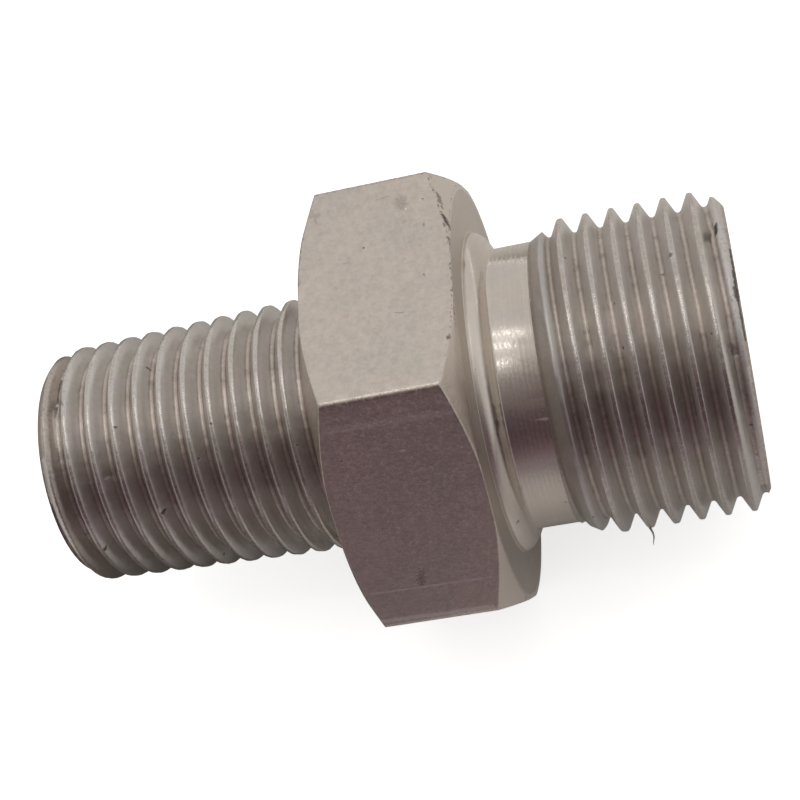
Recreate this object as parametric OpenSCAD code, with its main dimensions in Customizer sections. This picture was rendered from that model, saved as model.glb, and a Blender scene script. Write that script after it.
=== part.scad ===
// Straight pipe adapter with two male ends, turned in one piece from hexagon bar.
// It lies on a flat of its hexagon. The axis runs along X, and the parallel end points to +X.
// Each end is drawn on the lathe axis Z, with Z = 0 at the hexagon's face towards the parallel end.

/* [Hexagon] */
// Width across the flats
hex_af = 22; // [20:0.5:30]
// Width of the hexagon along the axis
hex_w = 7.65; // [6:0.05:14]
// Angle of the corner chamfers, from the end faces
corner_angle = 30; // [15:1:40]
// How far the flat ring on each end face reaches past the flats, on the diameter
ring_over = 0.1; // [0:0.05:0.6]

/* [Parallel end] */
// Outside diameter of the parallel thread, pipe size 3/8
parallel_d = 16.662; // [15:0.001:20]
// Length of the parallel end, from the hexagon's face
parallel_len = 13.05; // [10:0.05:25]
// Length from the hexagon's face to the thread, collar and neck together
neck_len = 3.1; // [2.6:0.05:5]
// How far the neck lies below the thread's root
neck_relief = 0.025; // [0.01:0.005:0.2]
// Length of the rounded collar between the hexagon and the neck
collar_len = 0.95; // [0.4:0.05:1.2]
// How far the collar stands above the neck at the hexagon
collar_rise = 1.05; // [0.3:0.05:1.5]
// Width of the collar's round land, before it rounds off to the neck
collar_land = 0.15; // [0.05:0.05:0.3]
// Angle of the cone that leads from the neck up to the thread, from the axis
lead_angle = 30; // [20:1:50]
// Angle of the chamfer at the free end, from the axis
parallel_end_angle = 50; // [35:1:60]
// How far the free end's edge lies below the thread's root
parallel_end_drop = 0.1; // [0.06:0.02:0.6]
// Angle at which the parallel thread's crest passes the hexagon's face
parallel_phase = 288; // [0:1:359]

/* [Tapered end] */
// Length of the tapered end, from the hexagon's face
taper_len = 16; // [10:0.1:25]
// Outside diameter in the gauge plane, pipe size 1/4
gauge_d = 13.157; // [11:0.001:16]
// Distance from the free end to the gauge plane
gauge_len = 4.7; // [3:0.1:7.3]
// Length in which the diameter grows by one
taper_ratio = 16; // [12:0.5:24]
// Length over which the last turn fades out at the hexagon
fade_len = 0.6; // [0.3:0.1:1.3]
// Angle of the chamfer at the free end, from the axis
taper_end_angle = 40; // [30:1:60]
// How far the free end's edge lies below the thread's crest
taper_end_drop = 0.56; // [0.3:0.02:1.2]
// Angle at which the tapered thread's crest passes the hexagon's face
taper_phase = 75; // [0:1:359]

/* [Bore] */
// Diameter of the bore through the tapered end
bore_d = 7; // [5:0.1:7.6]
// Diameter of the wider bore in the parallel end
wide_bore_d = 9.5; // [8:0.1:10]
// Depth of the wider bore, from the parallel end's face
wide_bore_depth = 14; // [8:0.5:20]
// Diameter of the conical seat's mouth
seat_d = 12.6; // [11:0.1:12.8]
// Angle of the conical seat, from the axis
seat_angle = 30; // [25:1:45]
// Depth of the small chamfer at the tapered end's mouth
mouth_chamfer = 0.5; // [0.2:0.05:0.8]

/* [Threads] */
// Pitch of both threads, 19 turns to the inch
pitch = 1.337; // [1:0.001:1.6]
// Angle between the two flanks of a thread
flank_angle = 55; // [50:1:65]
// Facets in one turn of a thread groove
turn_facets = 36; // [24:1:48]

/* [Hidden] */

// The thread form is a triangle with a sixth of its height cut off at crest and root
flank_tan = tan(flank_angle / 2);
sharp_height = pitch / (2 * flank_tan);
thread_depth = sharp_height * 2 / 3;
root_flat = pitch / 6;
// The groove's cutter stands proud of the crest by less than would join two turns
cutter_over = root_flat / 2;
cutter_half = pitch / 2 - root_flat / 2 + cutter_over * flank_tan;
// The corners of a faceted turn lie further out than the middles of its facets
facet_rise = 1 / cos(180 / turn_facets);

corner_r = hex_af / sqrt(3);
ring_r = (hex_af + ring_over) / 2;
corner_depth = (corner_r - ring_r) * tan(corner_angle);

parallel_r = parallel_d / 2;
parallel_root_r = parallel_r - thread_depth;
neck_r = parallel_root_r - neck_relief;
// The collar rounds off from its land to the neck, in a curve between a cone and an ellipse
collar_round = [for (turn = [0 : 15 : 90])
    [neck_r + collar_rise * pow(cos(turn), 4 / 3),
     collar_land + (collar_len - collar_land) * pow(sin(turn), 4 / 3)]];
lead_len = (parallel_r - neck_r) / tan(lead_angle);
parallel_end_r = parallel_root_r - parallel_end_drop;
parallel_end_len = (parallel_r - parallel_end_r) / tan(parallel_end_angle);

taper_end_z = -(hex_w + taper_len);
taper_tip_r = taper_r(taper_end_z);
taper_end_r = taper_tip_r - taper_end_drop;
taper_end_len = (taper_tip_r - taper_end_r) / (tan(taper_end_angle) + 1 / (2 * taper_ratio));

total_len = hex_w + taper_len + parallel_len;
seat_depth = (seat_d - wide_bore_d) / 2 / tan(seat_angle);
bore_step = (wide_bore_d - bore_d) / 2;
// Every cut runs past the face it opens through
through = 1;

// Crest radius of the tapered thread at a place on the lathe axis
function taper_r(z) = (gauge_d + (z - taper_end_z - gauge_len) / taper_ratio) / 2;

// Share of the groove that has faded out, from 0 to 1
function faded(z) =
    let (fade_end = -hex_w - cutter_half)
    min(1, max(0, (z - fade_end + fade_len) / fade_len));

// Root and cutter radius of the two grooves at a place on the lathe axis
function parallel_groove(z) = [parallel_root_r * facet_rise, parallel_r + cutter_over];
function taper_groove(z) =
    let (crest = taper_r(z), root = (crest - thread_depth) * facet_rise)
    [root + faded(z) * (thread_depth + cutter_over / 2), crest + cutter_over];

// The groove's four corners in the plane of the axis at one angle
function groove_section(z, angle, radii) =
    let (half_top = root_flat / 2 + (radii[1] - radii[0]) * flank_tan)
    [for (corner = [[-half_top, radii[1]], [-root_flat / 2, radii[0]],
                    [root_flat / 2, radii[0]], [half_top, radii[1]]])
        [corner[1] * cos(angle), corner[1] * sin(angle), z + corner[0]]];

// A right-hand helical groove as one closed solid, to be cut from the blank.
// The crest beside it passes Z = crest_z at the angle phase.
module thread_groove(z_from, z_to, crest_z, phase, tapered) {
    steps = ceil((z_to - z_from) / pitch * turn_facets);
    rings = [for (i = [0 : steps])
        let (z = z_from + i * pitch / turn_facets,
             angle = phase + 360 * (z - crest_z - pitch / 2) / pitch)
        groove_section(z, angle, tapered ? taper_groove(z) : parallel_groove(z))];
    points = [for (ring = rings) each ring];
    sides = [for (i = [0 : steps - 1], side = [0 : 3])
        let (a = 4 * i + side, b = 4 * i + (side + 1) % 4)
        each [[a, b + 4, b], [a, a + 4, b + 4]]];
    end_cap = [for (k = [3 : -1 : 0]) 4 * steps + k];
    polyhedron(points, concat(sides, [[0, 1, 2, 3]], [end_cap]));
}

// A cone or cylinder profile turned about the lathe axis, given as [radius, Z] points
module turned(profile) {
    rotate_extrude($fn = 120) polygon(profile);
}

// The blank of the parallel end: collar, neck, lead-in cone, thread body and end chamfer
module parallel_blank() {
    turned([
        [0, -hex_w / 2],
        [neck_r + collar_rise, -hex_w / 2],
        each collar_round,
        [neck_r, neck_len],
        [parallel_r, neck_len + lead_len],
        [parallel_r, parallel_len - parallel_end_len],
        [parallel_end_r, parallel_len],
        [0, parallel_len]
    ]);
}

// The blank of the tapered end, with its end chamfer
module taper_blank() {
    turned([
        [0, taper_end_z],
        [taper_end_r, taper_end_z],
        [taper_r(taper_end_z + taper_end_len), taper_end_z + taper_end_len],
        [taper_r(-hex_w / 2), -hex_w / 2],
        [0, -hex_w / 2]
    ]);
}

// The hexagon, with its corners turned off at both faces
module hexagon() {
    intersection() {
        rotate([0, 0, 30])
            translate([0, 0, -hex_w])
                cylinder(h = hex_w, r = corner_r, $fn = 6);
        turned([
            [0, -hex_w],
            [ring_r, -hex_w],
            [corner_r + ring_over, -hex_w + corner_depth + ring_over * tan(corner_angle)],
            [corner_r + ring_over, -corner_depth - ring_over * tan(corner_angle)],
            [ring_r, 0],
            [0, 0]
        ]);
    }
}

// The stepped bore, with the conical seat at the parallel end
module bore() {
    turned([
        [0, taper_end_z - through],
        [bore_d / 2 + mouth_chamfer, taper_end_z - through],
        [bore_d / 2 + mouth_chamfer, taper_end_z],
        [bore_d / 2, taper_end_z + mouth_chamfer],
        [bore_d / 2, parallel_len - wide_bore_depth - bore_step],
        [wide_bore_d / 2, parallel_len - wide_bore_depth],
        [wide_bore_d / 2, parallel_len - seat_depth],
        [seat_d / 2, parallel_len],
        [seat_d / 2, parallel_len + through],
        [0, parallel_len + through]
    ]);
}

// Stands the lathe axis along X, with a flat of the hexagon down and the length centred
module at_rest() {
    translate([total_len / 2 - parallel_len, 0, hex_af / 2])
        rotate([0, 90, 0])
            children();
}

module adapter_body() {
    color([0.66, 0.62, 0.57])
        at_rest()
            difference() {
                union() {
                    hexagon();
                    parallel_blank();
                    taper_blank();
                }
                thread_groove((collar_len + neck_len) / 2, parallel_len + cutter_half + through / 2,
                    0, parallel_phase, false);
                thread_groove(taper_end_z - cutter_half - through / 2, -hex_w - cutter_half,
                    -hex_w, taper_phase, true);
                bore();
            }
}

adapter_body();
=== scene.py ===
"""A straight hydraulic adapter of plated steel, dressed to match its photograph.

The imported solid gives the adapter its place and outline. Here the same part is made
again with rounded threads, softened edges and a handled surface. Sizes are in
millimetres, along the adapter's axis from the hexagon's face and out from the axis,
and AdapterBody.place puts the finished mesh into the frame, in metres.
"""

import logging
import math
from dataclasses import dataclass
from enum import Enum

import bmesh
import bpy
from mathutils import Matrix, Vector, noise

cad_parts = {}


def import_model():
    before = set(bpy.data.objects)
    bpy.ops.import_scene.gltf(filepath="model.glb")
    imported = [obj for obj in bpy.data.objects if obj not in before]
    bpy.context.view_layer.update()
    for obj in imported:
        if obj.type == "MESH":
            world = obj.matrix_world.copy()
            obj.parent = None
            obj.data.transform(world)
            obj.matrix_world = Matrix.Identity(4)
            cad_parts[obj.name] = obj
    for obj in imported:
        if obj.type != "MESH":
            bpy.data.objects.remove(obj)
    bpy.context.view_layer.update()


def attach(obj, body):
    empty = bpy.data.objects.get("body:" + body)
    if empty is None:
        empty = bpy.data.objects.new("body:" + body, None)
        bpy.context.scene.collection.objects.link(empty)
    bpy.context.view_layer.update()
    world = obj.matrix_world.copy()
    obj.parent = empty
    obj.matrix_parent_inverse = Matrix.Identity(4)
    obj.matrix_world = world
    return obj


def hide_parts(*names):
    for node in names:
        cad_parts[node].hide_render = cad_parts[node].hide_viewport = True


LOG = logging.getLogger("adapter")

Point = tuple[float, float]
Place = tuple[float, float, float]
Colour = tuple[float, float, float]

MM = 0.001
TURN_STEPS = 216
STEP = 2 * math.pi / TURN_STEPS
SIXTH = math.pi / 3
WELD = 0.002

# The hexagon's face and the axis in the frame, and the threads' sizes from that face
FACE_X = 5.3
AXIS_HEIGHT = 11.0
PARALLEL_RADIUS = 8.331
PARALLEL_END = 13.05
GAUGE_RADIUS = 6.5785
GAUGE_AT = -18.95
TAPERED_END = -23.65
TAPER = 1 / 32

# A rounding's points as (share of the way round, edge), and the margin on both its sides
ROUNDING = ((0.0, 0.0), (0.25, 0.6), (0.5, 1.0), (0.75, 0.6), (1.0, 0.0))
ROUNDING_MARGIN = 2.2

# How worn the hexagon's rings are, by number: two at the rim and three at the arcs
WORN_RINGS = {2: 0.4, 3: 0.6, 7: 0.5, 8: 1.0, 9: 0.5}

# The dents stay out of the bore, which is narrower than this
OUTSIDE = 5.0

# The noises that the finishes share, as (waves in a millimetre, detail, roughness)
MOTTLE = (2.4, 4.0, 0.6)
GRAIN = (5.5, 3.0, 0.6)
SPECKLE_SHIFT = (31.0, 7.0, 5.0)

# Crests to the left of this place in the frame are those of the tapered end
ENDS_PART = FACE_X - 3.0

# Where the finishes and the painted light and shade change, as (where a share is 0, where it
# is 1):
# along the axis in the frame, in millimetres, and the last two as angles from +Y towards +Z,
# in radians
RIGHT_RIM = (17.5, 17.8)
LEFT_RIM = (-17.3, -17.6)
LEFT_END = (-17.0, -17.6)
# The painted shade on the lead-in cone lies between these places.
LEAD_IN = ((9.9, 9.2), (8.3, 8.5))
NECK = ((5.4, 5.6), (8.6, 8.4))
COLLAR = ((5.36, 5.5), (6.34, 6.2))
RIGHT_SIDE = (1.0, 3.0)
TOP_EDGE = (1.75, 1.95)
# The painted light on the collar's lower side rises over these angles.
LOWER_SIDE = (1.4, 1.85)


class Region(Enum):
    """The kinds of surface on the body, in the order of its materials."""

    FLATS = 0
    TURNED = 1
    THREADS = 2


def smooth_min(a: float, b: float, blend: float) -> float:
    """Returns the lesser of a and b, rounded where they come within blend of each other."""
    near = max(blend - abs(a - b), 0.0) / blend
    return min(a, b) - near * near * blend / 4


def smooth_step(low: float, high: float, value: float) -> float:
    """Returns 0 below low, 1 above high, and a smooth rise between them."""
    share = min(max((value - low) / (high - low), 0.0), 1.0)
    return share * share * (3 - 2 * share)


def softened(corners: list[Point], reach: float) -> list[Place]:
    """Rounds the inner corners of a turned profile.

    Args:
        corners: The profile's corners as (along, radius).
        reach: How far from a corner the rounding begins.

    Returns:
        The points as (along, radius, edge), where edge is 1 in the middle of a rounding.
    """
    points = [(*corners[0], 0.0)]
    for before, corner, after in zip(corners, corners[1:], corners[2:]):
        here = Vector(corner)
        back = (Vector(before) - here).normalized()
        ahead = (Vector(after) - here).normalized()
        points.append((*(here + back * reach * ROUNDING_MARGIN), 0.0))
        for share, edge in ROUNDING:
            bend = back * reach * (1 - share) ** 2 + ahead * reach * share**2
            points.append((*(here + bend), edge))
        points.append((*(here + ahead * reach * ROUNDING_MARGIN), 0.0))
    points.append((*corners[-1], 0.0))
    return points


class Lathe:
    """Turns profiles about the adapter's axis and gathers them into one mesh."""

    def __init__(self) -> None:
        """Starts with an empty mesh."""
        self.whole = bmesh.new()

    def turn(self, points: list[Place], lead: float = 0.0) -> bmesh.types.BMesh:
        """Spins a profile once round the axis.

        Args:
            points: The profile as (along, radius, edge).
            lead: How far the profile moves along the axis in the turn, as a thread does.

        Returns:
            A new mesh with the layers ring, for the point's number, and edge.
        """
        bm = bmesh.new()
        ring = bm.verts.layers.int.new("ring")
        edge = bm.verts.layers.float.new("edge")
        chain = []
        for number, (along, radius, worn) in enumerate(points):
            vert = bm.verts.new((along, radius, 0.0))
            vert[ring] = number
            vert[edge] = worn
            chain.append(vert)
        edges = [bm.edges.new(pair) for pair in zip(chain, chain[1:])]
        bmesh.ops.spin(
            bm,
            geom=chain + edges,
            cent=(0, 0, 0),
            axis=(1, 0, 0),
            dvec=(lead / TURN_STEPS, 0, 0),
            angle=2 * math.pi,
            steps=TURN_STEPS,
            use_merge=lead == 0,
            use_duplicate=False,
        )
        return bm

    def gather(self, bm: bmesh.types.BMesh, region: Region) -> None:
        """Adds a finished section to the whole.

        Args:
            bm: The section, which is used up.
            region: The kind of surface that it shows.
        """
        for face in bm.faces:
            face.material_index = region.value
        section = bpy.data.meshes.new("section")
        bm.to_mesh(section)
        bm.free()
        self.whole.from_mesh(section)
        bpy.data.meshes.remove(section)

    def close(self) -> bmesh.types.BMesh:
        """Returns the whole with its sections welded and its faces turned outwards."""
        bm = self.whole
        bmesh.ops.remove_doubles(bm, verts=bm.verts, dist=WELD)
        loose = [edge for edge in bm.edges if not edge.link_faces]
        bmesh.ops.delete(bm, geom=loose, context="EDGES")
        bmesh.ops.recalc_face_normals(bm, faces=bm.faces)
        return bm


@dataclass(frozen=True)
class ThreadForm:
    """The thread form of 55 degrees, with rounded crests and roots."""

    pitch: float = 1.337
    flank_angle: float = 55.0
    depth_ratio: float = 0.6403
    crest_rounding: float = 0.1
    root_rounding: float = 0.16

    @property
    def depth(self) -> float:
        """Returns the height from root to crest."""
        return self.depth_ratio * self.pitch

    def corner(self, rounding: float) -> list[Point]:
        """Works out half of a crest or of a root.

        Args:
            rounding: The radius between its flat and the flank.

        Returns:
            Its points from the middle on, as (along, off the flat).
        """
        sweep = math.radians(90 - self.flank_angle / 2)
        flat = self.pitch / 12 - rounding * math.tan(sweep / 2)
        turns = [sweep * step / 2 for step in range(3)]
        bend = [(flat + rounding * math.sin(t), rounding * (1 - math.cos(t))) for t in turns]
        return [(0.0, 0.0)] + bend

    def one_turn(self) -> list[Point]:
        """Returns one pitch of the form from a crest on, as (along, below the crest)."""
        half = self.pitch / 2
        crest = self.corner(self.crest_rounding)
        bottom = reversed(self.corner(self.root_rounding))
        root = [(half - along, self.depth - off) for along, off in bottom]
        middle = tuple((a + b) / 2 for a, b in zip(crest[-1], root[0]))
        falling = crest + [middle] + root
        rising = [(self.pitch - along, below) for along, below in reversed(falling[1:-1])]
        return falling + rising


@dataclass
class ThreadedEnd:
    """A male thread between two places on the axis, cut back to its blank.

    The ripples are its unevenness, as (height, waves in a millimetre).
    """

    form: ThreadForm
    start: float
    end: float
    crest_at: float
    blend: float = 0.06
    ripples: tuple[Point, ...] = ((0.022, 2.3), (0.012, 0.9))
    ripple_radius: float = 7.0
    work_radius: float = 10.0

    def crest_radius(self, along: float) -> float:
        """Returns the radius over the crests at a place on the axis."""
        raise NotImplementedError

    def outline(self, along: float) -> float:
        """Returns the radius that the chamfers leave at a place on the axis."""
        raise NotImplementedError

    def full(self, along: float) -> float:
        """Returns how much of the groove's depth is there, from 0 to 1."""
        return 1.0

    def uneven(self, along: float, turned: float) -> float:
        """Works out how far the cut surface strays, which is less near both ends.

        Args:
            along: The place on the axis.
            turned: The angle round it.

        Returns:
            The distance that the surface is moved outwards.
        """
        inside = smooth_step(0.1, 0.6, min(along - self.start, self.end - along))
        reach = self.ripple_radius
        place = Vector((along, reach * math.cos(turned), reach * math.sin(turned)))
        ripples = (height * noise.noise(place * waves) for height, waves in self.ripples)
        return sum(ripples) * inside

    def build(self, lathe: Lathe) -> None:
        """Adds the threaded surface to the lathe's work.

        Args:
            lathe: Where the surface goes.
        """
        pitch = self.form.pitch
        turn = self.form.one_turn()
        first = math.floor((self.start - self.crest_at) / pitch) - 2
        last = math.ceil((self.end - self.crest_at) / pitch) + 1
        points = [
            (self.crest_at + k * pitch + along, self.work_radius - below, 0.0)
            for k in range(first, last)
            for along, below in turn
        ]
        bm = lathe.turn(points, lead=pitch)
        bmesh.ops.remove_doubles(bm, verts=bm.verts, dist=WELD)
        for vert in bm.verts:
            along = min(max(vert.co.x, self.start), self.end)
            below = self.work_radius - math.hypot(vert.co.y, vert.co.z)
            turned = round(math.atan2(vert.co.z, vert.co.y) / STEP) * STEP
            cut = self.crest_radius(along) - below * self.full(along)
            radius = smooth_min(cut, self.outline(along), self.blend)
            radius += self.uneven(along, turned)
            if vert.co.x <= self.start or vert.co.x >= self.end:
                radius = self.outline(along)
            vert.co = (along, radius * math.cos(turned), radius * math.sin(turned))
        bmesh.ops.remove_doubles(bm, verts=bm.verts, dist=WELD)
        lathe.gather(bm, Region.THREADS)


@dataclass
class ParallelEnd(ThreadedEnd):
    """The short parallel end, with its collar, neck, lead-in cone and end chamfer."""

    start: float = 3.1
    end: float = PARALLEL_END
    crest_at: float = 0.602
    radius: float = PARALLEL_RADIUS
    neck_radius: float = 7.45
    collar_radius: float = 8.5
    collar_land: float = 0.15
    collar_end: float = 0.95
    collar_power: float = 4 / 3
    collar_sweep: range = range(0, 75, 9)
    foot: float = 1.05
    foot_rounding: float = 0.08
    lead_slope: float = math.tan(math.radians(30))
    end_radius: float = 7.375
    end_slope: float = math.tan(math.radians(50))
    end_rounding: float = 0.12

    def crest_radius(self, along: float) -> float:
        """Returns the same radius over the crests everywhere."""
        return self.radius

    def outline(self, along: float) -> float:
        """Returns the radius that the lead-in cone and the end chamfer leave."""
        lead = self.neck_radius + (along - self.start) * self.lead_slope
        left = self.end - along
        rounded = max(1 - left / self.end_rounding, 0.0) ** 2 * self.end_rounding / 2
        return min(lead, self.end_radius + left * self.end_slope - rounded)

    def build_neck(self, lathe: Lathe) -> None:
        """Adds the neck, and the collar that rounds off to it.

        Args:
            lathe: Where they go.
        """
        rise = self.collar_radius - self.neck_radius
        width = self.collar_end - self.collar_land
        points = [(0.0, self.collar_radius, 0.0), (0.05, self.collar_radius, 0.0)]
        for turned in self.collar_sweep:
            across, out = math.sin(math.radians(turned)), math.cos(math.radians(turned))
            along = self.collar_land + width * across**self.collar_power
            points.append((along, self.neck_radius + rise * out**self.collar_power, 0.0))
        foot, end = (self.foot, self.neck_radius), (self.start, self.neck_radius)
        points += softened([points[-1][:2], foot, end], self.foot_rounding)[1:]
        lathe.gather(lathe.turn(points), Region.TURNED)


@dataclass
class TaperedEnd(ThreadedEnd):
    """The longer tapered end, whose last turn fades out at the hexagon."""

    start: float = TAPERED_END
    end: float = -7.65
    crest_at: float = -7.594
    end_radius: float = 5.872
    end_reach: float = 0.9
    end_power: float = 1.9
    fade: Point = (1.2, 0.15)

    def crest_radius(self, along: float) -> float:
        """Returns the radius over the crests, which grows by 1 in 32 along the axis."""
        return GAUGE_RADIUS + (along - GAUGE_AT) * TAPER

    def outline(self, along: float) -> float:
        """Returns the radius that the worn, rounded end chamfer leaves."""
        left = min((along - self.start) / self.end_reach, 1.0)
        rise = self.crest_radius(along) - self.end_radius
        return self.end_radius + rise * (1 - (1 - left) ** self.end_power)

    def full(self, along: float) -> float:
        """Returns how much of the groove's depth is there beside the hexagon."""
        return 1 - smooth_step(self.end - self.fade[0], self.end - self.fade[1], along)


@dataclass
class Hexagon:
    """The hexagon, turned at its corners and milled on its six flats.

    Each side's rings are the rim's, as (depth from the face, inside the rim), then two on
    the corner chamfer, and then those beside the arc where it meets the flats.
    """

    width: float = 7.65
    across: float = 22.0
    ring_radius: float = 11.05
    chamfer: float = math.tan(math.radians(30))
    left_inner: float = 6.9316
    right_inner: float = 8.5
    blend: float = 0.06
    rim_rings: tuple[Point, ...] = ((0.0, 0.25), (0.0, 0.12), (0.0, 0.05), (0.015, 0.012))
    arc_rings: tuple[float, ...] = (-0.1, -0.04, 0.0, 0.04, 0.1, 0.18)
    corner_squeeze: float = 0.3
    corner_reach: float = math.radians(6)
    corner_width: float = math.radians(0.3)

    def flat_radius(self, turned: float) -> float:
        """Returns the radius of the rounded hexagon at an angle."""
        inside = turned % SIXTH
        flats = [self.across / 2 / math.cos(inside - SIXTH * (k + 0.5)) for k in (-1, 0, 1)]
        return smooth_min(smooth_min(flats[0], flats[1], self.blend), flats[2], self.blend)

    def gathered(self, turned: float) -> float:
        """Moves an angle towards the nearest corner, for a tight rounding there.

        Args:
            turned: The angle round the axis.

        Returns:
            The new angle.
        """
        corner = round(turned / SIXTH) * SIXTH
        aside = turned - corner
        freed = (1 - self.corner_squeeze) * smooth_step(0, self.corner_reach, abs(aside))
        return corner + aside * (self.corner_squeeze + freed)

    def offsets(self, turned: float) -> list[Point]:
        """Works out one side's rings at an angle.

        Args:
            turned: The angle round the axis.

        Returns:
            The rings as (depth from the face, radius).
        """
        flat = self.flat_radius(turned)
        rim = min(self.ring_radius, flat)
        arc = max((flat - self.ring_radius) * self.chamfer, 0.0)
        rings = [(depth, rim - inside) for depth, inside in self.rim_rings]
        depth = rings[-1][0]
        for wanted in (0.05, arc / 2, *(arc + beside for beside in self.arc_rings)):
            depth = max(depth, wanted)
            cone = self.ring_radius + depth / self.chamfer
            rings.append((depth, smooth_min(cone, flat, self.blend)))
        return rings

    def build(self, lathe: Lathe) -> None:
        """Adds the hexagon and both its faces to the lathe's work.

        Args:
            lathe: Where the hexagon goes.
        """
        half = len(self.offsets(0.0))
        rough = [-self.width * k / (2 * half - 1) for k in range(2 * half)]
        bm = lathe.turn([(along, self.across / 2, 0.0) for along in rough])
        ring = bm.verts.layers.int["ring"]
        edge = bm.verts.layers.float["edge"]
        rim = len(self.rim_rings)
        for vert in bm.verts:
            number = vert[ring]
            turned = math.atan2(vert.co.z, vert.co.y)
            side = min(number, 2 * half - 1 - number)
            place = self.gathered(turned) if side >= rim else turned
            depth, radius = self.offsets(place)[side]
            along = -depth if number < half else depth - self.width
            corner = abs(place - round(place / SIXTH) * SIXTH)
            vert[edge] = WORN_RINGS.get(side, 0.0)
            if side > rim + 1 and corner < self.corner_width:
                vert[edge] = 1.0
            vert.co = (along, radius * math.cos(place), radius * math.sin(place))
        bmesh.ops.remove_doubles(bm, verts=bm.verts, dist=WELD / 2)
        lathe.gather(bm, Region.FLATS)
        for inner, along in ((self.right_inner, 0.0), (self.left_inner, -self.width)):
            outer = self.ring_radius
            radii = (inner, inner + 0.12, outer - 0.4, outer - self.rim_rings[0][1])
            face = lathe.turn([(along, radius, 0.0) for radius in radii])
            ring = face.verts.layers.int["ring"]
            for vert in face.verts:
                if vert[ring] == len(radii) - 1:
                    turned = math.atan2(vert.co.z, vert.co.y)
                    radius = self.offsets(turned)[0][1]
                    vert.co = (along, radius * math.cos(turned), radius * math.sin(turned))
            lathe.gather(face, Region.TURNED)


@dataclass
class Bore:
    """The stepped bore with its conical seat, and the two end faces."""

    right_edge: float
    left_edge: float
    right: float = PARALLEL_END
    left: float = TAPERED_END
    seat_radius: float = 6.3
    wide_radius: float = 4.75
    radius: float = 3.5
    wide_depth: float = 14.0
    seat_slope: float = math.tan(math.radians(30))
    mouth: float = 0.5
    rounding: float = 0.07

    def build(self, lathe: Lathe) -> None:
        """Adds the bore and the end faces to the lathe's work.

        Args:
            lathe: Where they go.
        """
        seat_end = self.right - (self.seat_radius - self.wide_radius) / self.seat_slope
        step = self.right - self.wide_depth
        corners = [
            (self.right, self.right_edge),
            (self.right, self.seat_radius),
            (seat_end, self.wide_radius),
            (step, self.wide_radius),
            (step - (self.wide_radius - self.radius), self.radius),
            (self.left + self.mouth, self.radius),
            (self.left, self.radius + self.mouth),
            (self.left, self.left_edge),
        ]
        lathe.gather(lathe.turn(softened(corners, self.rounding)), Region.TURNED)


@dataclass
class Burr:
    """The thin curled sliver that hangs from a crest of the parallel thread.

    Its path is given as (along, out from the axis, radius of the sliver).
    """

    angle: float = 206.0
    path: tuple[Place, ...] = (
        (6.62, 8.2, 0.09),
        (6.7, 8.42, 0.07),
        (6.78, 8.62, 0.055),
        (6.8, 8.85, 0.045),
        (6.74, 9.08, 0.03),
        (6.7, 9.25, 0.012),
    )

    def build(self, lathe: Lathe) -> None:
        """Adds the sliver to the lathe's work, as a small closed horn.

        Args:
            lathe: Where the sliver goes.
        """
        bm = bmesh.new()
        bmesh.ops.create_circle(bm, cap_ends=True, radius=1.0, segments=6)
        verts, tip = bm.verts[:], bm.faces[:]
        before = (0.0, 0.0, 1.0)
        for number, place in enumerate(self.path):
            if number > 0:
                made = bmesh.ops.extrude_face_region(bm, geom=tip)["geom"]
                if number > 1:
                    bmesh.ops.delete(bm, geom=tip, context="FACES_ONLY")
                verts = [item for item in made if isinstance(item, bmesh.types.BMVert)]
                tip = [item for item in made if isinstance(item, bmesh.types.BMFace)]
            share = place[2] / before[2]
            middle = Matrix.Translation((-before[0], 0, 0))
            bmesh.ops.scale(bm, vec=(share, share, 1), space=middle, verts=verts)
            shift = (place[0] - before[0], 0, place[1] - before[1])
            bmesh.ops.translate(bm, vec=shift, verts=verts)
            before = place
        outward = Matrix.Rotation(math.radians(self.angle - 90), 3, "X")
        bmesh.ops.rotate(bm, cent=(0, 0, 0), matrix=outward, verts=bm.verts)
        lathe.gather(bm, Region.THREADS)


def opaque(colour: object) -> object:
    """Returns a written colour with its alpha, and a socket as it is."""
    return (*colour, 1) if isinstance(colour, tuple) else colour


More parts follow.
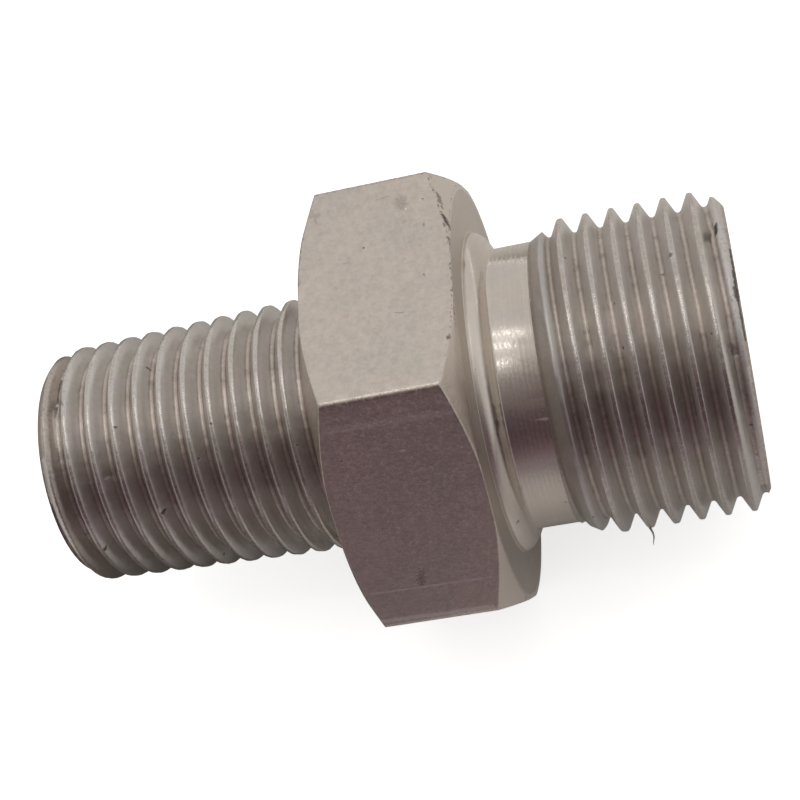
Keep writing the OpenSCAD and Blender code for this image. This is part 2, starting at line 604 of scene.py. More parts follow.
class Graph:
    """A material's nodes, added and joined in a few words."""

    def __init__(self, name: str) -> None:
        """Starts an empty material.

        Args:
            name: The material's name.
        """
        self.material = bpy.data.materials.new(name)
        self.material.use_nodes = True
        self.tree = self.material.node_tree
        self.tree.nodes.clear()

    def add(self, kind: str, inputs: dict | None = None, **settings: object) -> bpy.types.Node:
        """Adds a node.

        Args:
            kind: The node's type without its ShaderNode prefix.
            inputs: What goes into its sockets, as values or as other nodes' outputs.
            settings: The node's own options.

        Returns:
            The new node.
        """
        node = self.tree.nodes.new("ShaderNode" + kind)
        for key, value in settings.items():
            setattr(node, key, value)
        for key, value in (inputs or {}).items():
            if isinstance(value, bpy.types.NodeSocket):
                self.tree.links.new(value, node.inputs[key])
            else:
                node.inputs[key].default_value = value
        return node

    def math(self, operation: str, a: object, b: object = 0.0, clamp: bool = False) -> object:
        """Returns the output of a Math node on a and b."""
        node = self.add("Math", {0: a, 1: b}, operation=operation, use_clamp=clamp)
        return node.outputs[0]

    def times(self, a: object, b: object) -> object:
        """Returns a times b."""
        return self.math("MULTIPLY", a, b)

    def most(self, a: object, b: object) -> object:
        """Returns the greater of a and b."""
        return self.math("MAXIMUM", a, b)

    def mask(self, value: object, low: float, high: float) -> object:
        """Returns value mapped smoothly from 0 at low to 1 at high."""
        node = self.add(
            "MapRange", {"Value": value, "From Min": low, "From Max": high},
            interpolation_type="SMOOTHSTEP",
        )
        return node.outputs["Result"]

    def mix(self, share: object, a: object, b: object) -> object:
        """Returns the colour between a and b by share."""
        node = self.add("Mix", {0: share, 6: opaque(a), 7: opaque(b)}, data_type="RGBA")
        return node.outputs[2]

    def blend(self, share: object, a: object, b: object) -> object:
        """Returns the value between a and b by share."""
        return self.add("Mix", {0: share, 2: a, 3: b}, data_type="FLOAT").outputs[0]

    def flip(self, share: object) -> object:
        """Returns 1 less a share."""
        return self.math("SUBTRACT", 1.0, share)

    def shaded(self, colour: object, value: object) -> object:
        """Returns a colour made lighter or darker by value, which is 1 where it stays."""
        return self.add("HueSaturation", {"Color": colour, "Value": value}).outputs[0]

    def total(self, *parts: tuple[object, float]) -> object:
        """Returns the sum of values, each times its weight."""
        whole = 0.0
        for value, weight in parts:
            whole = self.math("ADD", self.times(value, weight), whole)
        return whole

    def band(self, value: object, near: Point, far: Point) -> object:
        """Returns 1 between two edges, each given as (where it is 0, where it is 1)."""
        return self.times(self.mask(value, *near), self.mask(value, *far))

    def noise(
        self, place: object, scale: float, detail: float = 3.0, rough: float = 0.55
    ) -> object:
        """Returns a noise from 0 to 1 at a place."""
        node = self.add(
            "TexNoise",
            {"Vector": place, "Scale": scale, "Detail": detail, "Roughness": rough},
        )
        return node.outputs["Fac"]

    def arrow(self, operation: str, a: object, b: object, scale: object = 1.0) -> object:
        """Returns the vector output of a VectorMath node on a and b."""
        node = self.add("VectorMath", {0: a, 1: b, 3: scale}, operation=operation)
        return node.outputs[0]

    def vector(self, x: object, y: object, z: object) -> object:
        """Returns the vector of three values."""
        return self.add("CombineXYZ", {0: x, 1: y, 2: z}).outputs[0]

    def finished(self, shader: bpy.types.Node) -> bpy.types.Material:
        """Returns the material, with a shader on its surface."""
        self.add("OutputMaterial", {"Surface": shader.outputs[0]})
        return self.material


@dataclass(frozen=True)
class Mark:
    """A spot or scratch on the surface, at places given in the frame.

    The places are (along the axis in millimetres, angle round it in degrees), and the
    angle starts at +Y and rises towards +Z.
    """

    start: Point
    width: float
    strength: float = 1.0
    end: Point | None = None
    light: bool = False


@dataclass(frozen=True)
class Ground:
    """The places and noises that all parts of one material share."""

    place: object
    along: object
    radius: object
    turned: object
    edge: object
    mottle: object
    grain: object
    speckle: object


@dataclass
class Coat:
    """How the plating looks at a place, before its pits and marks."""

    shade: object
    rough: object
    wear: object = 0.0
    dark: object = 0.0


@dataclass(frozen=True)
class PlatedSteel:
    """Satin zinc plating over machined steel, as one kind of surface wears it.

    Scales are in waves to the millimetre, and depths and shares have no unit.
    """

    name: str
    region: Region
    base: Colour
    cool: Colour
    roughness: float
    line_depth: float
    grain_depth: float
    mottling: float
    marks: tuple[Mark, ...]
    worn: Colour = (0.72, 0.65, 0.58)
    # Dark colour for dirt, pits and dark marks; it also paints shade on the lead-in cone and
    # on the hexagon's right face.
    grime_and_painted_shade: Colour = (0.09, 0.07, 0.065)
    bare: Colour = (0.92, 0.86, 0.8)
    # The chamfer colour paints light on the side of the hexagon that faces the parallel end.
    chamfer: Colour = (0.72, 0.635, 0.56)
    # The collar colour paints light on the collar's lower side.
    collar: Colour = (0.84, 0.76, 0.68)
    crest_roughness: float = 0.22
    rim_roughness: float = 0.5
    neck_roughness: float = 0.4
    line_scale: float = 3.6
    line_shading: float = 0.14
    cloud_scale: float = 0.28
    wear_share: float = 0.5

    @property
    def threaded(self) -> bool:
        """Returns whether the finish is that of the threads."""
        return self.region is Region.THREADS

    def crest(self, g: Graph, along: object) -> object:
        """Returns the radius over the crests at a place along the axis."""
        taper = g.total((along, TAPER), (1.0, GAUGE_RADIUS - (FACE_X + GAUGE_AT) * TAPER))
        return g.blend(g.math("GREATER_THAN", along, ENDS_PART), taper, PARALLEL_RADIUS)

    def crest_at(self, along: float) -> float:
        """Returns the radius that marks are measured at, at a place along the axis."""
        if not self.threaded or along > ENDS_PART:
            return PARALLEL_RADIUS
        return GAUGE_RADIUS + (along - FACE_X - GAUGE_AT) * TAPER

    def marked(self, g: Graph, unrolled: object, ragged: object, light: bool) -> object:
        """Draws the light or the dark marks.

        Args:
            g: The material's graph.
            unrolled: The place on the surface laid flat, in millimetres.
            ragged: A noise that frays the marks.
            light: Whether the light marks are wanted.

        Returns:
            How strongly they show, from 0 to 1.
        """
        whole = 0.0
        for mark in (mark for mark in self.marks if mark.light == light):
            places = []
            for along, angle in (mark.start, mark.end or mark.start):
                places.append(Vector((along, math.radians(angle) * self.crest_at(along), 0)))
            step = places[1] - places[0]
            offset = g.arrow("SUBTRACT", unrolled, places[0])
            if step.length > 0:
                dot = g.add(
                    "VectorMath", {0: offset, 1: step / step.length_squared},
                    operation="DOT_PRODUCT",
                ).outputs["Value"]
                share = g.math("MULTIPLY", dot, 1.0, clamp=True)
                offset = g.arrow("SUBTRACT", offset, g.arrow("SCALE", step, step, share))
            away = g.add("VectorMath", {0: offset}, operation="LENGTH").outputs["Value"]
            spread = g.math("ADD", g.math("DIVIDE", away, mark.width), ragged)
            spot = g.times(g.flip(g.mask(spread, 0.3, 1.0)), mark.strength)
            whole = g.most(whole, spot)
        return whole

    def ground(self, g: Graph) -> Ground:
        """Measures the place in millimetres and round the axis, and adds the noises.

        Args:
            g: The material's graph.

        Returns:
            What the material's parts share.
        """
        here = g.add("TexCoord").outputs["Object"]
        place = g.add(
            "Mapping",
            {"Vector": here, "Location": (0, 0, -AXIS_HEIGHT), "Scale": (1000, 1000, 1000)},
        ).outputs[0]
        along, across, up = g.add("SeparateXYZ", {0: place}).outputs
        squares = g.math("ADD", g.math("POWER", across, 2), g.math("POWER", up, 2))
        turned = g.math("ARCTAN2", up, across)
        behind = g.math("LESS_THAN", turned, -math.pi / 2)
        return Ground(
            place=place,
            along=along,
            radius=g.math("SQRT", squares),
            turned=g.math("ADD", turned, g.times(behind, 2 * math.pi)),
            edge=g.add("Attribute", attribute_name="edge").outputs["Fac"],
            mottle=g.noise(place, *MOTTLE),
            grain=g.noise(place, *GRAIN),
            speckle=g.noise(g.arrow("ADD", place, SPECKLE_SHIFT), *GRAIN),
        )

    def tool_lines(self, g: Graph, at: Ground) -> object:
        """Returns the tool marks, which run round the axis, or along the threads' helix."""
        lead = -ThreadForm().pitch / (2 * math.pi) if self.threaded else 0.0
        profile = g.total((at.along, 1.0), (at.radius, 1.0), (at.turned, lead))
        fine = g.times(profile, self.line_scale)
        return g.noise(g.vector(fine, g.times(at.turned, 0.5), 0.0), 1.0, 3.0, 0.7)

    def plain(self, g: Graph, at: Ground, lines: object) -> Coat:
        """Mottles the plating as it is where nothing has touched it.

        Args:
            g: The material's graph.
            at: What the material's parts share.
            lines: The tool marks.

        Returns:
            The untouched plating.
        """
        cloudy = g.noise(at.place, self.cloud_scale, 3.0)
        tone = g.mix(g.mask(cloudy, 0.35, 0.65), self.base, self.cool)
        level = 1 - 0.5 * (self.mottling * 1.8 + self.line_shading)
        patchy = g.total(
            (at.mottle, self.mottling), (at.grain, self.mottling * 0.8),
            (lines, self.line_shading), (1.0, level),
        )
        rough = g.total((at.mottle, self.roughness * 0.4), (1.0, self.roughness * 0.8))
        return Coat(g.shaded(tone, patchy), rough)

    def wear_threads(self, g: Graph, at: Ground, coat: Coat) -> None:
        """Rubs the crests bright, and leaves dirt in the roots and on the end rims.

        Args:
            g: The material's graph.
            at: What the material's parts share.
            coat: The plating, which is changed.
        """
        depth = ThreadForm().depth
        below = g.math("SUBTRACT", self.crest(g, at.along), at.radius)
        rubbed = g.total((at.speckle, 0.1), (1.0, -0.035))
        crest = g.flip(g.mask(g.math("SUBTRACT", below, rubbed), -0.035, 0.045))
        root = g.mask(below, depth - 0.14, depth - 0.02)
        right_rim = g.mask(at.along, *RIGHT_RIM)
        left_end = g.mask(at.along, *LEFT_END)
        coat.wear = g.most(g.most(crest, root), left_end)
        rough = g.blend(crest, coat.rough, self.crest_roughness)
        coat.rough = g.blend(right_rim, rough, self.rim_roughness)
        stained = g.times(root, g.mask(g.noise(at.place, 1.3, 3.0), 0.5, 0.75))
        rims = g.most(right_rim, g.mask(at.along, *LEFT_RIM))
        dirt = g.times(rims, g.mask(at.speckle, 0.56, 0.8))
        dark = g.most(g.times(stained, 0.5), dirt)
        # The lead-in cone is darkened evenly: painted shade.
        painted_lead_in_shade = g.times(g.band(at.along, *LEAD_IN), 0.35)
        coat.dark = g.most(dark, painted_lead_in_shade)

    def wear_flats(self, g: Graph, at: Ground, coat: Coat) -> None:
        """Frays the edges of the flats, gives the flats their own sheen, and paints light on
        one chamfer.

        Args:
            g: The material's graph.
            at: What the material's parts share.
            coat: The plating, which is changed.
        """
        right = g.mask(at.along, *RIGHT_SIDE)
        frayed = g.math("ADD", at.edge, g.total((at.grain, 1.2), (1.0, -0.72)))
        coat.wear = g.times(g.mask(frayed, 0.5, 1.0), g.blend(right, 1.0, 0.5))
        dark = g.times(g.mask(at.edge, 0.0, 0.6), g.mask(at.speckle, 0.5, 0.62))
        dark = g.times(dark, g.blend(right, 0.55, 0.9))
        coat.dark = g.times(dark, g.blend(g.mask(at.turned, *TOP_EDGE), 1.0, 0.3))
        facing = g.add("SeparateXYZ", {0: g.add("TexCoord").outputs["Normal"]}).outputs[0]
        flat = g.flip(g.mask(g.math("ABSOLUTE", facing), 0.3, 0.5))
        sparkle = g.times(g.mask(at.grain, 0.5, 0.7), flat)
        coat.rough = g.total((sparkle, 0.2), (coat.rough, 1.0), (1.0, -0.03))
        flecks = g.total((g.mask(at.grain, 0.36, 0.64), 0.02), (1.0, 0.99))
        shade = g.shaded(coat.shade, flecks)
        # The hexagon's chamfer and rim that face the parallel end take the lighter chamfer
        # colour, while the other side keeps the flats' colour: painted light.
        coat.shade = g.mix(g.mask(facing, 0.5, 0.8), shade, self.chamfer)

    def wear_turned(self, g: Graph, at: Ground, coat: Coat) -> None:
        """Rings the collar, neck and faces with their feed marks, and dulls the neck.

        Args:
            g: The material's graph.
            at: What the material's parts share.
            coat: The plating, which is changed.
        """
        coat.wear = g.times(at.edge, 0.6)
        coat.dark = g.times(at.edge, g.mask(at.speckle, 0.6, 0.75))
        # The collar's lower side is made lighter towards the collar colour: painted light.
        painted_light_side = g.times(g.band(at.along, *COLLAR), g.mask(at.turned, *LOWER_SIDE))
        shade = g.mix(g.times(painted_light_side, 0.4), coat.shade, self.collar)
        feed = g.math("SINE", g.total((at.along, 26.0), (at.speckle, 12.0)))
        rough = g.total((g.mask(feed, -0.9, 0.9), 0.11), (coat.rough, 1.0))
        coat.rough = g.blend(g.band(at.along, *NECK), self.neck_roughness, rough)
        # The hexagon's right face is darkened a little and evenly: painted shade.
        face = g.times(g.mask(at.radius, 8.48, 8.6), g.mask(at.along, 5.2, 5.29))
        coat.shade = g.mix(g.times(face, 0.12), shade, self.grime_and_painted_shade)

    def pits(self, g: Graph, at: Ground) -> object:
        """Returns the sparse pits in the plating."""
        cells = g.add("TexVoronoi", {"Vector": at.place, "Scale": 0.95, "Randomness": 1.0})
        chosen = g.add("SeparateColor", {0: cells.outputs["Color"]}).outputs[0]
        pit = g.flip(g.mask(cells.outputs["Distance"], 0.05, 0.1))
        return g.times(pit, g.mask(chosen, 0.8, 0.9))

    def material(self) -> bpy.types.Material:
        """Builds the material.

        Returns:
            The material, with its colour, gloss and relief.
        """
        g = Graph(self.name)
        at = self.ground(g)
        lines = self.tool_lines(g, at)
        coat = self.plain(g, at, lines)
        wearing = {
            Region.FLATS: self.wear_flats,
            Region.TURNED: self.wear_turned,
            Region.THREADS: self.wear_threads,
        }
        wearing[self.region](g, at, coat)
        fleck = g.mask(at.grain, 0.35, 0.65)
        worn = g.mix(fleck, tuple(c * 0.84 for c in self.worn), self.worn)
        shade = g.mix(g.times(coat.wear, self.wear_share), coat.shade, worn)
        shade = g.mix(g.times(coat.dark, 0.7), shade, self.grime_and_painted_shade)

        # Marks that the photograph shows at known places
        reach = self.crest(g, at.along) if self.threaded else PARALLEL_RADIUS
        unrolled = g.vector(at.along, g.times(at.turned, reach), 0.0)
        ragged = g.total((g.noise(at.place, 7.0, 3.0), 1.8), (1.0, -0.9))
        pit = g.most(self.pits(g, at), self.marked(g, unrolled, ragged, False))
        rub = self.marked(g, unrolled, ragged, True)
        shade = g.mix(g.times(pit, 0.85), shade, self.grime_and_painted_shade)
        shade = g.mix(rub, shade, self.bare)

        rough = g.total((coat.rough, 1.0), (pit, 0.25), (coat.dark, 0.15), (rub, 0.08))
        height = g.total(
            (at.grain, self.grain_depth), (lines, self.line_depth),
            (pit, -1.2), (coat.dark, -0.4),
        )
        bump = g.add("Bump", {"Height": height, "Strength": 0.6, "Distance": 0.00004})
        shader = g.add(
            "BsdfPrincipled",
            {
                "Base Color": shade,
                "Metallic": 1.0,
                "Roughness": rough,
                "Normal": bump.outputs[0],
            },
        )
        return g.finished(shader)


@dataclass(frozen=True)
class Nick:
    """A dent that takes a little metal off an edge or a crest."""

    along: float
    angle: float
    width: float
    depth: float


@dataclass
class AdapterBody:
    """The whole adapter, in one piece as it was turned."""

    parallel_form: ThreadForm = ThreadForm()
    tapered_form: ThreadForm = ThreadForm(crest_rounding=0.15, root_rounding=0.1)
    nicks: tuple[Nick, ...] = ()

    def build(self) -> bmesh.types.BMesh:
        """Returns the adapter's closed mesh, in millimetres from the hexagon's face."""
        lathe = Lathe()
        parallel = ParallelEnd(self.parallel_form)
        parallel.build(lathe)
        parallel.build_neck(lathe)
        tapered = TaperedEnd(self.tapered_form)
        tapered.build(lathe)
        Hexagon().build(lathe)
        Bore(
            right_edge=parallel.outline(parallel.end), left_edge=tapered.outline(tapered.start)
        ).build(lathe)
        Burr().build(lathe)
        bm = lathe.close()
        self.dent(bm)
        return bm

    def dent(self, bm: bmesh.types.BMesh) -> None:
        """Presses the nicks into the mesh.

        Args:
            bm: The adapter's mesh.
        """
        for nick in self.nicks:
            turned = math.radians(nick.angle)
            for vert in bm.verts:
                along = (vert.co.x - nick.along) / nick.width
                if abs(along) > 1:
                    continue
                radius = math.hypot(vert.co.y, vert.co.z)
                aside = math.remainder(math.atan2(vert.co.z, vert.co.y) - turned, 2 * math.pi)
                away = along * along + (aside * radius / nick.width) ** 2
                if away < 1 and radius > OUTSIDE:
                    vert.co.yz *= 1 - nick.depth * (1 - away) / radius

    def place(
        self, bm: bmesh.types.BMesh, materials: list[bpy.types.Material]
    ) -> bpy.types.Object:
        """Puts the mesh into the frame as one piece that stands for the CAD node.

        Args:
            bm: The adapter's mesh, which is used up.
            materials: One material for each region, in their order.

        Returns:
            The piece.
        """
        shift = Matrix.Translation((FACE_X * MM, 0, AXIS_HEIGHT * MM))
        bmesh.ops.transform(bm, matrix=shift @ Matrix.Scale(MM, 4), verts=bm.verts)
        for face in bm.faces:
            face.smooth = True
        open_edges = sum(1 for edge in bm.edges if len(edge.link_faces) != 2)
        mesh = bpy.data.meshes.new("adapter")
        bm.to_mesh(mesh)
        bm.free()
        for material in materials:
            mesh.materials.append(material)
        piece = bpy.data.objects.new("adapter_dressed", mesh)
        bpy.context.scene.collection.objects.link(piece)
        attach(piece, "root")
        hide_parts("adapter_body")
        faces = len(mesh.polygons)
        LOG.info("%s: %d faces, %d edges not closed", piece.name, faces, open_edges)
        return piece


@dataclass(frozen=True)
class PaintedShadeTones:
    """The grey sheet's colours, by where they lie round the adapter, which paint shade onto
    the ground that reflections show.
    """

    # Darker ground in front of the adapter, painted shade.
    front: Colour = (0.32, 0.275, 0.305)
    left: Colour = (0.72, 0.7, 0.69)
    right: Colour = (0.56, 0.54, 0.53)
    # Painted contact shadow under the adapter, seen only in reflections.
    under: Colour = (0.2, 0.18, 0.17)
    behind: Colour = (0.1, 0.09, 0.08)
    far_behind: Colour = (0.36, 0.34, 0.32)
    behind_right: Colour = (0.76, 0.73, 0.69)

    def paint(self, g: Graph) -> object:
        """Lays the colours out round the adapter, at places in metres.

        Args:
            g: The sheet's material.

        Returns:
            The colour at a place.
        """
        place = g.add("TexCoord").outputs["Object"]
        x, y, _ = g.add("SeparateXYZ", {0: place}).outputs
        under = g.band(x, (-0.002, -0.012), (-0.036, -0.028))
        close = g.mix(g.mask(x, 0.009, 0.016), self.left, self.right)
        close = g.mix(under, close, self.under)
        near = g.add("MapRange", {0: y, 1: -0.075, 2: -0.008}).outputs[0]
        front = g.mix(near, self.front, close)
        behind = g.mix(g.mask(x, -0.012, 0.01), self.behind, self.behind_right)
        far_behind = g.mix(g.mask(x, -0.03, 0.01), self.far_behind, self.behind_right)
        back = g.mix(g.mask(y, 0.006, 0.014), behind, far_behind)
        return g.mix(g.mask(y, -0.01, 0.004), front, back)


@dataclass
class Studio:
    """The pale floor, the soft light round it, and the camera of the photograph.

    The card's stops are (height as a share of its radius, colour that it glows with).
    """

    sky: Colour = (0.73, 0.73, 0.73)
    floor_radius: float = 3.0
    floor_colour: Colour = (0.86, 0.86, 0.85)
    floor_glow: float = 0.62
    sheet: PaintedShadeTones = PaintedShadeTones()
    sheet_lift: float = 0.0001
    card_radius: float = 0.3
    card_rise: float = math.radians(74)
    card_rise_steps: int = 24
    card_window: float = math.radians(190)
    card_window_steps: int = 64
    card_start: float = math.radians(-97)
    card_top: float = 0.96
    card_stops: tuple[tuple[float, Colour], ...] = (
        (0.0, (0.215, 0.158, 0.182)),
        (0.11, (0.178, 0.124, 0.146)),
        (0.25, (0.112, 0.074, 0.085)),
        (0.45, (0.092, 0.064, 0.073)),
        (0.63, (0.135, 0.1, 0.112)),
        (0.78, (0.24, 0.21, 0.21)),
        (0.9, (0.32, 0.3, 0.3)),
        (0.937, (0.5, 0.49, 0.49)),
    )
    card_side: Colour = (0.6, 0.6, 0.6)
    lamp_distance: float = 0.4
    lamp_size: Point = (0.3, 0.011)
    lamp_power: float = 0.043
    lamp_aims: tuple[Place, ...] = (
        (-0.1, 0.2, 0.975),
        (-0.1, 0.035, 0.994),
        (-0.1, -0.195, 0.976),
    )
    camera_at: Place = (17.551, -49.962, 85.714)
    camera_towards: Place = (-0.19986, 0.51068, -0.83622)
    camera_up: Place = (0.16455, 0.85881, 0.48515)
    camera_clip: Point = (0.005, 20.0)
    lens: float = 76.92
    shift: float = 0.1

    def build(self) -> None:
        """Sets up the world, the floor, the reflected cards, the lamps and the camera."""
        self.build_world()
        self.build_floor()
        self.build_sheet()
        self.build_card()
        self.build_lamps()
        self.build_camera()

    def build_world(self) -> None:
        """Lights the scene evenly from all round."""
        world = bpy.data.worlds.new("studio")
        world.use_nodes = True
        background = world.node_tree.nodes["Background"]
        background.inputs["Color"].default_value = (*self.sky, 1)
        background.inputs["Strength"].default_value = 1.0
        bpy.context.scene.world = world
        bpy.context.scene.view_settings.view_transform = "Standard"

    def build_floor(self) -> None:
        """Lays the pale floor, which shows white and keeps the adapter's shadow."""
        g = Graph("pale_floor")
        rays = g.add("LightPath").outputs
        mirrored = g.most(rays["Is Glossy Ray"], rays["Is Transmission Ray"])
        seen = g.most(rays["Is Camera Ray"], mirrored)
        glow = g.times(seen, self.floor_glow)
        paint = g.add("BsdfDiffuse", {"Color": (*self.floor_colour, 1)})
        white = g.add("Emission", {"Color": (1, 1, 1, 1), "Strength": glow})
        both = g.add("AddShader", {0: paint.outputs[0], 1: white.outputs[0]})
        self.stage("floor", self.disc(self.floor_radius), g.finished(both))

    def build_sheet(self) -> None:
        """Lays a grey sheet over the floor, which only reflections see and which paints shade
        onto the ground they show.
        """
        bm = self.disc(self.card_radius)
        bmesh.ops.translate(bm, verts=bm.verts, vec=(0, 0, self.sheet_lift))
        g = Graph("grey_sheet")
        paint = g.add("BsdfDiffuse", {"Color": self.sheet.paint(g)})
        self.reflected_only(self.stage("grey_sheet", bm, g.finished(paint)))

    def build_card(self) -> None:
        """Stands a dark curved card on the camera's side, which only reflections see; it glows
        with a painted reflection of dark surroundings.
        """
        radius = self.card_radius
        bm = bmesh.new()
        chain = []
        for step in range(self.card_rise_steps + 1):
            rise = self.card_rise * step / self.card_rise_steps
            chain.append(bm.verts.new((radius * math.cos(rise), 0, radius * math.sin(rise))))
        edges = [bm.edges.new(pair) for pair in zip(chain, chain[1:])]
        bmesh.ops.spin(
            bm,
            geom=chain + edges,
            cent=(0, 0, 0),
            axis=(0, 0, 1),
            angle=self.card_window,
            steps=self.card_window_steps,
        )
        turn = Matrix.Rotation(self.card_start - self.card_window / 2, 4, "Z")
        bmesh.ops.transform(bm, matrix=turn, verts=bm.verts)
        g = Graph("painted_reflection_card")
        glow = g.add("Emission", {"Color": self.card_colour(g)})
        self.reflected_only(self.stage("painted_reflection_card", bm, g.finished(glow)))

    def card_colour(self, g: Graph) -> object:
        """Paints the card's glow from its foot to its top, and paler towards its sides.

        Args:
            g: The card's material.

        Returns:
            The colour at a place.
        """
        x, y, z = g.add("SeparateXYZ", {0: g.add("TexCoord").outputs["Object"]}).outputs
        ramp = g.add("ValToRGB", {0: g.math("DIVIDE", z, self.card_radius)})
        stops = ramp.color_ramp.elements
        stops[0].color = (*self.card_stops[0][1], 1)
        stops[1].position = self.card_top
        stops[1].color = (*self.sky, 1)
        for height, colour in self.card_stops[1:]:
            stops.new(height).color = (*colour, 1)
        aside = g.math("ARCTAN2", x, g.times(y, -1))
        aside = g.math("ABSOLUTE", g.math("ADD", aside, math.radians(7)))
        side = g.mask(aside, math.radians(38), math.radians(88))
        return g.mix(side, ramp.outputs[0], self.card_side)

    def build_lamps(self) -> None:
        """Hangs three narrow lamps in a row above the adapter."""
        for number, aim in enumerate(self.lamp_aims):
            lamp = bpy.data.lights.new(f"strip_{number}", "AREA")
            lamp.shape = "RECTANGLE"
            lamp.size, lamp.size_y = self.lamp_size
            lamp.energy = self.lamp_power
            way = Vector(aim).normalized()
            along = (Vector((1, 0, 0)) - way * way.x).normalized()
            turn = Matrix((along, way.cross(along), way)).transposed().to_4x4()
            self.hang(lamp, Matrix.Translation(way * self.lamp_distance) @ turn)

    def build_camera(self) -> None:
        """Places the camera where the photograph was taken from."""
        camera = bpy.data.cameras.new("camera")
        camera.lens = self.lens
        camera.shift_y = self.shift
        camera.clip_start, camera.clip_end = self.camera_clip
        towards = Vector(self.camera_towards).normalized()
        right = towards.cross(Vector(self.camera_up)).normalized()
        up = right.cross(towards)
        turn = Matrix((right, up, -towards)).transposed().to_4x4()
        place = Matrix.Translation(Vector(self.camera_at) * MM)
        bpy.context.scene.camera = self.hang(camera, place @ turn)

    def hang(self, data: bpy.types.ID, place: Matrix) -> bpy.types.Object:
        """Puts a lamp or the camera in its place.

        Args:
            data: The lamp or the camera.
            place: Where it goes, and how it is turned.

        Returns:
            Its object.
        """
        holder = bpy.data.objects.new(data.name, data)
        holder.matrix_world = place
        bpy.context.scene.collection.objects.link(holder)
        return holder

    def disc(self, radius: float) -> bmesh.types.BMesh:
        """Returns a flat disc on the ground."""
        bm = bmesh.new()
        bmesh.ops.create_circle(bm, cap_ends=True, segments=96, radius=radius)
        return bm

    def stage(
        self, name: str, bm: bmesh.types.BMesh, material: bpy.types.Material
    ) -> bpy.types.Object:
        """Makes a stage object of a mesh.

        Args:
            name: The object's name.
            bm: Its mesh, which is used up.
            material: What it is made of.

        Returns:
            The object.
        """
        mesh = bpy.data.meshes.new(name)
        bm.to_mesh(mesh)
        bm.free()
        mesh.materials.append(material)
        item = bpy.data.objects.new(name, mesh)
        bpy.context.scene.collection.objects.link(item)
        return item

    def reflected_only(self, item: bpy.types.Object) -> None:
        """Hides a stage object from everything but reflections.

        Args:
            item: The stage object.
        """
        for ray in ("camera", "diffuse", "shadow", "transmission"):
            setattr(item, f"visible_{ray}", False)


FLAT_MARKS = (
    Mark((1.78, 64.8), 0.05, 0.25, end=(2.4, 64.3)),
    Mark((3.02, 66.7), 0.42, 0.3),
    Mark((2.84, 65.6), 0.07, 0.35, end=(3.18, 68.0)),
    Mark((2.93, 67.1), 0.06, 0.35, end=(3.39, 67.4)),
    Mark((3.05, 65.1), 0.06, 0.3, end=(2.97, 68.6)),
    Mark((3.26, 68.9), 0.06, 0.8, light=True),
    Mark((4.11, 74.4), 0.12, 0.5),
    Mark((3.97, 89.7), 0.1, 0.45),
    Mark((2.47, 99.6), 0.05, 0.35, end=(2.9, 99.9)),
    Mark((-0.01, 81.6), 0.06, 0.25, end=(0.29, 81.3)),
    Mark((-1.7, 65.6), 0.14, 0.22, end=(-1.18, 65.7)),
    Mark((-1.54, 64.2), 0.1, 0.22, end=(-1.34, 67.4)),
    Mark((4.86, 64.9), 0.13, 0.7, end=(4.95, 67.7)),
    Mark((5.03, 69.2), 0.1, 0.7),
    Mark((5.1, 72.5), 0.16, 1.0, end=(5.25, 74.2)),
    Mark((5.32, 79.4), 0.1, 0.5, end=(5.42, 87.7)),
    Mark((5.38, 91.7), 0.1, 0.6),
    Mark((5.23, 96.1), 0.08, 0.5),
    Mark((4.93, 109.2), 0.12, 0.8),
    Mark((-2.05, 62.8), 0.14, 0.4, end=(-2.22, 67.3)),
    Mark((-2.33, 78.1), 0.12, 0.4, end=(-2.32, 85.4)),
    Mark((-1.52, 125.6), 0.16, 0.3, end=(4.63, 126.2), light=True),
    Mark((-1.64, 171.2), 0.05, 0.4, end=(4.47, 171.7), light=True),
    Mark((1.13, 167.7), 0.28, 0.4, end=(1.02, 169.6)),
    Mark((1.76, 133.3), 0.06, 0.5, end=(2.05, 133.3), light=True),
    Mark((-1.41, 178.5), 0.1, 0.6, end=(4.18, 178.9), light=True),
)
TURNED_MARKS = (Mark((5.8, 176.0), 0.09, 0.9),)
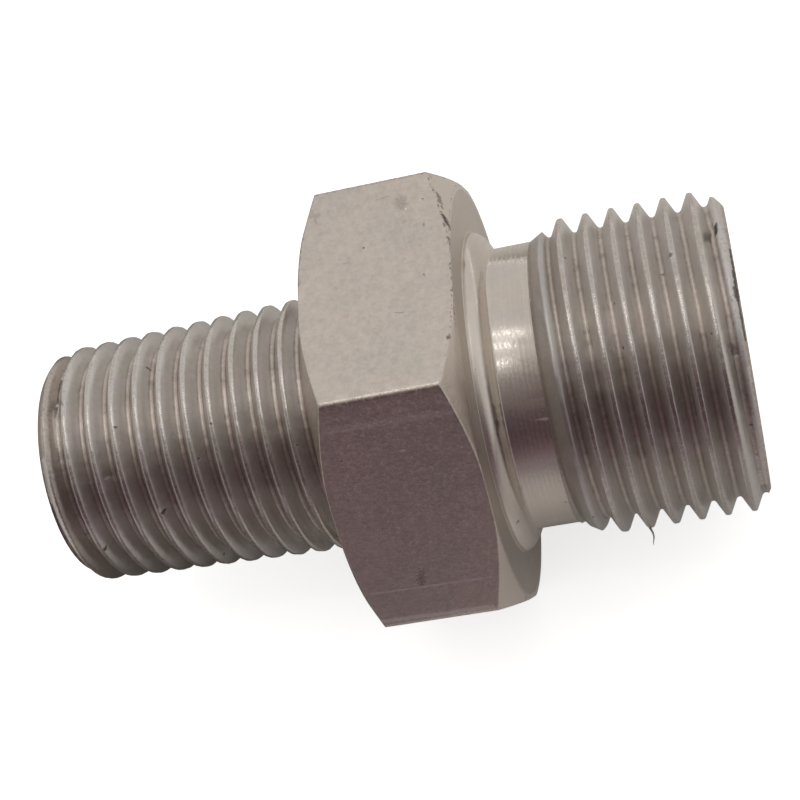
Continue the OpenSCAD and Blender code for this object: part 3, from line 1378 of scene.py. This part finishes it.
THREAD_MARKS = (
    Mark((17.78, 71.3), 0.13, 1.0, end=(17.77, 75.6)),
    Mark((15.46, 86.4), 0.16, 0.8),
    Mark((14.97, 89.8), 0.12, 0.6),
    Mark((18.27, 83.7), 0.06, 0.9, end=(18.27, 94.2)),
    Mark((18.26, 94.2), 0.1, 0.9, end=(18.23, 106.1)),
    Mark((18.2, 101.5), 0.14, 0.8, end=(18.19, 105.1)),
    Mark((18.24, 106.1), 0.06, 0.8, end=(18.26, 121.0)),
    Mark((17.56, 122.0), 0.2, 0.5, end=(17.68, 125.0)),
    Mark((18.14, 131.0), 0.16, 0.6, end=(18.16, 158.0), light=True),
    Mark((18.1, 150.0), 0.3, 0.55, end=(18.05, 188.0), light=True),
    Mark((-18.02, 118.0), 0.34, 0.8, end=(-17.95, 188.0), light=True),
    Mark((15.36, 129.0), 0.06, 0.6, end=(15.42, 144.0)),
    Mark((-17.5, 66.0), 0.06, 0.8, end=(-17.4, 85.0)),
    Mark((-17.15, 81.0), 0.05, 0.7, end=(-17.15, 89.0)),
    Mark((-17.05, 87.0), 0.12, 0.6, end=(-16.7, 92.0)),
    Mark((-17.4, 87.5), 0.05, 0.8, end=(-17.45, 94.0)),
    Mark((-17.5, 90.0), 0.09, 0.6, end=(-17.4, 111.0), light=True),
    Mark((-12.23, 75.0), 0.14, 0.8),
    Mark((-14.82, 131.4), 0.12, 1.0, light=True),
    Mark((-16.2, 168.5), 0.14, 1.0),
    Mark((-12.23, 152.0), 0.16, 1.0),
    Mark((-13.75, 108.7), 0.1, 0.7),
    Mark((-9.93, 156.7), 0.13, 0.8),
    Mark((-12.5, 181.0), 0.15, 0.9),
)
NICKS = (
    Nick(12.42, 73.0, 0.3, 0.12),
    Nick(9.9, 88.0, 0.22, 0.08),
    Nick(-17.5, 152.0, 0.25, 0.12),
    Nick(-20.1, 131.0, 0.22, 0.1),
    Nick(-19.0, 100.0, 0.2, 0.07),
    Nick(-0.05, 73.5, 0.3, 0.1),
    Nick(-0.2, 91.0, 0.22, 0.06),
)


def plated_finishes() -> list[PlatedSteel]:
    """Returns the finish of each region, in their order."""
    return [
        PlatedSteel(
            "plated_flats", Region.FLATS, base=(0.635, 0.55, 0.48), cool=(0.59, 0.53, 0.47),
            roughness=0.34, line_depth=0.0, grain_depth=0.45, mottling=0.34, marks=FLAT_MARKS,
        ),
        PlatedSteel(
            "plated_turned", Region.TURNED, base=(0.66, 0.585, 0.51), cool=(0.62, 0.56, 0.5),
            roughness=0.15, line_depth=0.6, grain_depth=0.15, mottling=0.12,
            marks=TURNED_MARKS,
        ),
        # The threads' base is lighter and greyer than the plating elsewhere: painted light on
        # the flanks, for the light that passes between them. Their worn colour, on crests,
        # roots and the tapered end, is nearer the plating's own tone.
        PlatedSteel(
            "plated_threads", Region.THREADS, base=(0.662, 0.612, 0.588),
            cool=(0.632, 0.604, 0.555), worn=(0.55, 0.475, 0.415), roughness=0.33,
            line_scale=9.0, line_depth=0.3, grain_depth=0.4, cloud_scale=0.8, mottling=0.24,
            wear_share=0.85, marks=THREAD_MARKS,
        ),
    ]


def main() -> None:
    """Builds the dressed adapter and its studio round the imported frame."""
    logging.basicConfig(level=logging.INFO, format="%(message)s")
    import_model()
    body = AdapterBody(nicks=NICKS)
    body.place(body.build(), [finish.material() for finish in plated_finishes()])
    Studio().build()


if __name__ == "__main__":
    main()
